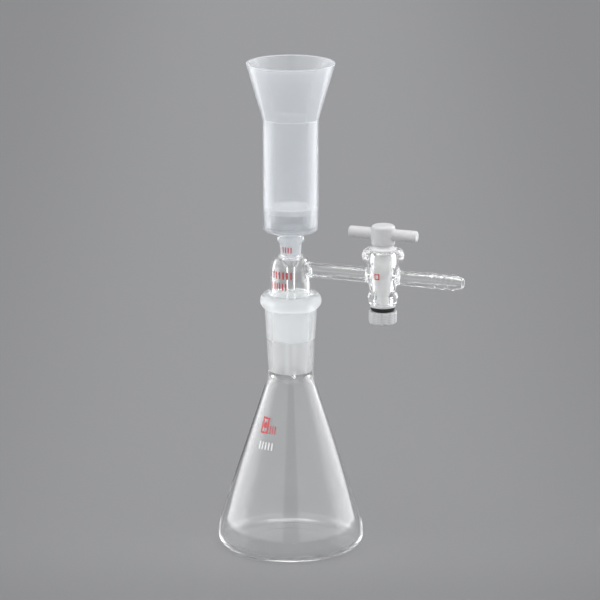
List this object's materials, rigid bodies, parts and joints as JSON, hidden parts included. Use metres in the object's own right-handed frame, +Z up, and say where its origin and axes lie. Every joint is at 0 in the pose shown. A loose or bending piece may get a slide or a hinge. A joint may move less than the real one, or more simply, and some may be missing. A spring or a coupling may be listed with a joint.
{
  "type": "buchner funnel",
  "caption": "Plastic filter funnel with a porous disc in a glass vacuum adapter with stopcock and hose barb, standing by a ground joint in a conical flask.",
  "frame": {"origin": "on the flask's axis, at the bench that its foot stands on", "axes": "+Z up along the flask's axis, +X along the side arm towards the hose barb"},
  "size_m": [0.1465, 0.084, 0.285],
  "materials": {
    "clear_glass": "clear, fire-polished borosilicate",
    "ground_glass": "finely ground, frosted",
    "polypropylene": "milky, translucent, smooth moulded",
    "porous_plastic": "sintered, fine pores",
    "ptfe": "white, waxy, turned",
    "washer_plastic": "pale, slightly translucent",
    "nut_plastic": "milky, translucent, fluted",
    "black_rubber": "smooth, dull",
    "print_enamel": "fired-on red and white enamel marks, on the glass"
  },
  "bodies": {
    "flask": {"flask_body": "clear_glass", "flask_socket": "ground_glass"},
    "cone": {"cone_joint": "ground_glass"},
    "adapter": {"adapter_chamber": "clear_glass", "funnel_socket": "clear_glass", "drip_tube": "clear_glass", "side_arm": "clear_glass", "stopcock_barrel": "clear_glass", "outlet_tube": "clear_glass", "hose_barb": "clear_glass"},
    "funnel": {"funnel_body": "polypropylene", "frit_disc": "porous_plastic"},
    "key": {"stopcock_plug": "ptfe", "stopcock_handle": "ptfe"},
    "seals": {"stopcock_washer": "washer_plastic", "stopcock_o_ring": "black_rubber"},
    "nut": {"stopcock_nut": "nut_plastic"}
  },
  "joints": [
    {"name": "adapter_lift", "type": "slide", "parent": "flask", "child": "cone", "axis": [0, 0, 1], "range_m": [0, 0.06]},
    {"name": "adapter_turn", "type": "hinge", "parent": "cone", "child": "adapter", "pos_m": [0, 0, 0.151], "axis": [0, 0, 1], "continuous": true},
    {"name": "funnel_lift", "type": "slide", "parent": "adapter", "child": "funnel", "axis": [0, 0, 1], "range_m": [0, 0.03]},
    {"name": "stopcock_turn", "type": "hinge", "parent": "adapter", "child": "key", "pos_m": [0.0563, 0, 0.1653], "axis": [0, 0, 1], "continuous": true},
    {"name": "seal_slide", "type": "slide", "parent": "key", "child": "seals", "axis": [0, 0, -1], "range_m": [0, 0.0045]},
    {"name": "nut_turn", "type": "hinge", "parent": "seals", "child": "nut", "pos_m": [0.0563, 0, 0.142], "axis": [0, 0, -1], "range_deg": [0, 1621]}
  ],
  "couplings": [
    {"joint": "nut_turn", "follows": "seal_slide", "rad_per_m": 6283.2}
  ]
}
